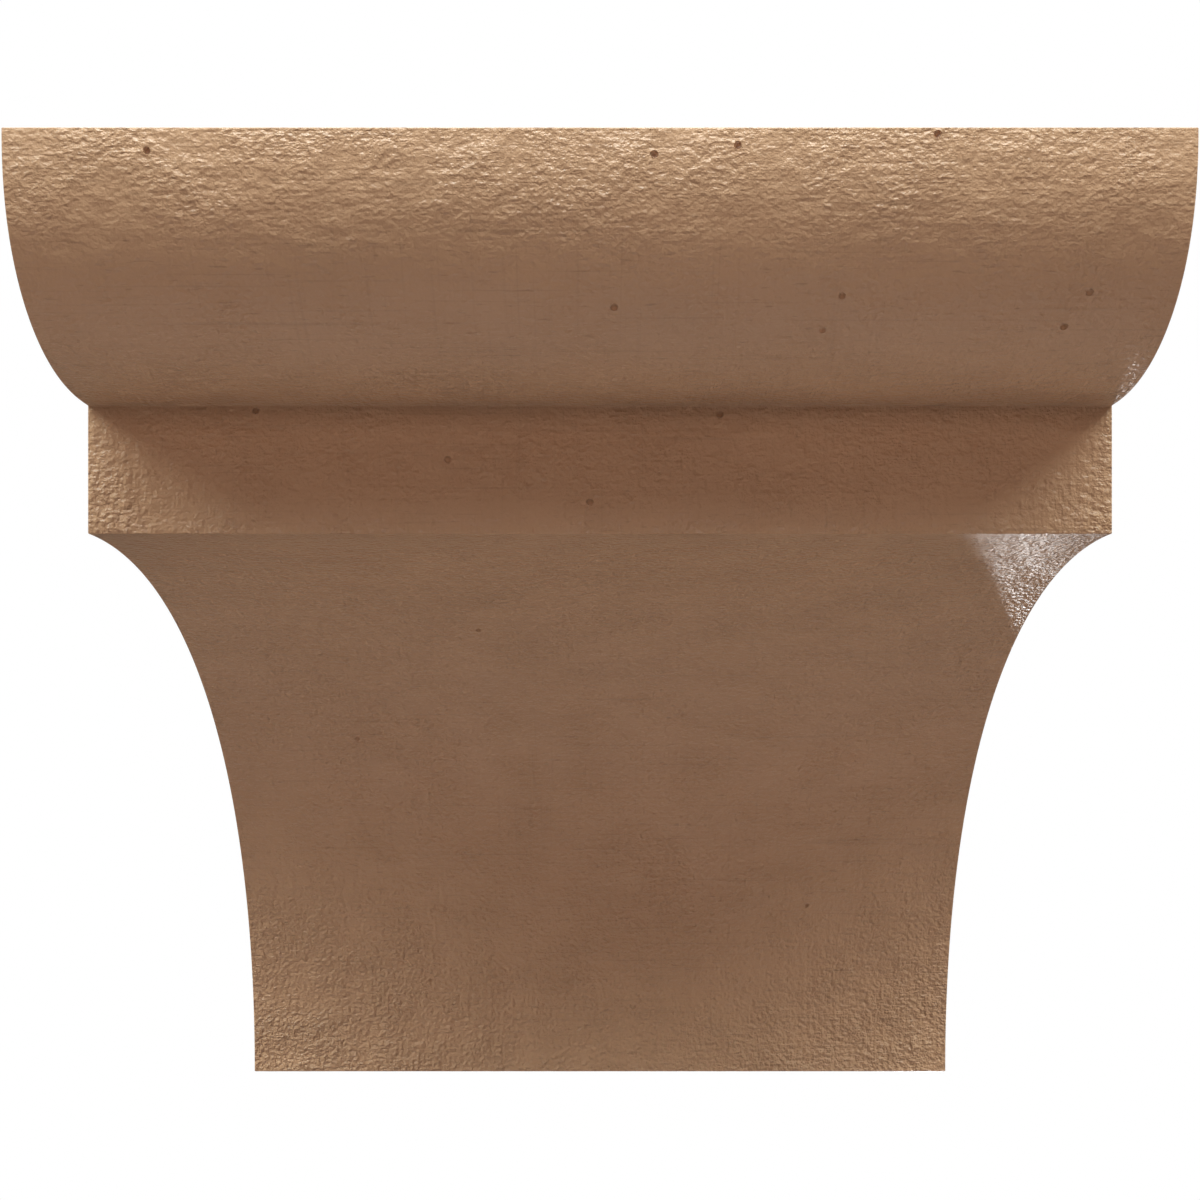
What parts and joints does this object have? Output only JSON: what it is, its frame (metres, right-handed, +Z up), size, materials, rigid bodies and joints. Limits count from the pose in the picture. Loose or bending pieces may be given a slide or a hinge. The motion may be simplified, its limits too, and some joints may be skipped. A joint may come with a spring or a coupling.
{
  "type": "corbel",
  "caption": "Block-shaped moulded corbel that carries a shelf or mantel from a wall: a full ovolo and a flat fillet over one deep cove, in rough-sawn faux timber.",
  "frame": {"origin": "middle of the back face, in the plane of the wall, midway across the width and up the height", "axes": "+Y into the wall, so the corbel stands out along -Y with its ovolo at the front; +Z up; +X across the width, to the right as seen from the front"},
  "size_m": [0.2032, 0.2032, 0.2032],
  "materials": {
    "tan_primer": "satin tan factory primer over a rough-sawn, lightly crinkled moulded foam skin"
  },
  "bodies": {
    "root": {"corbel": "tan_primer"}
  },
  "joints": []
}
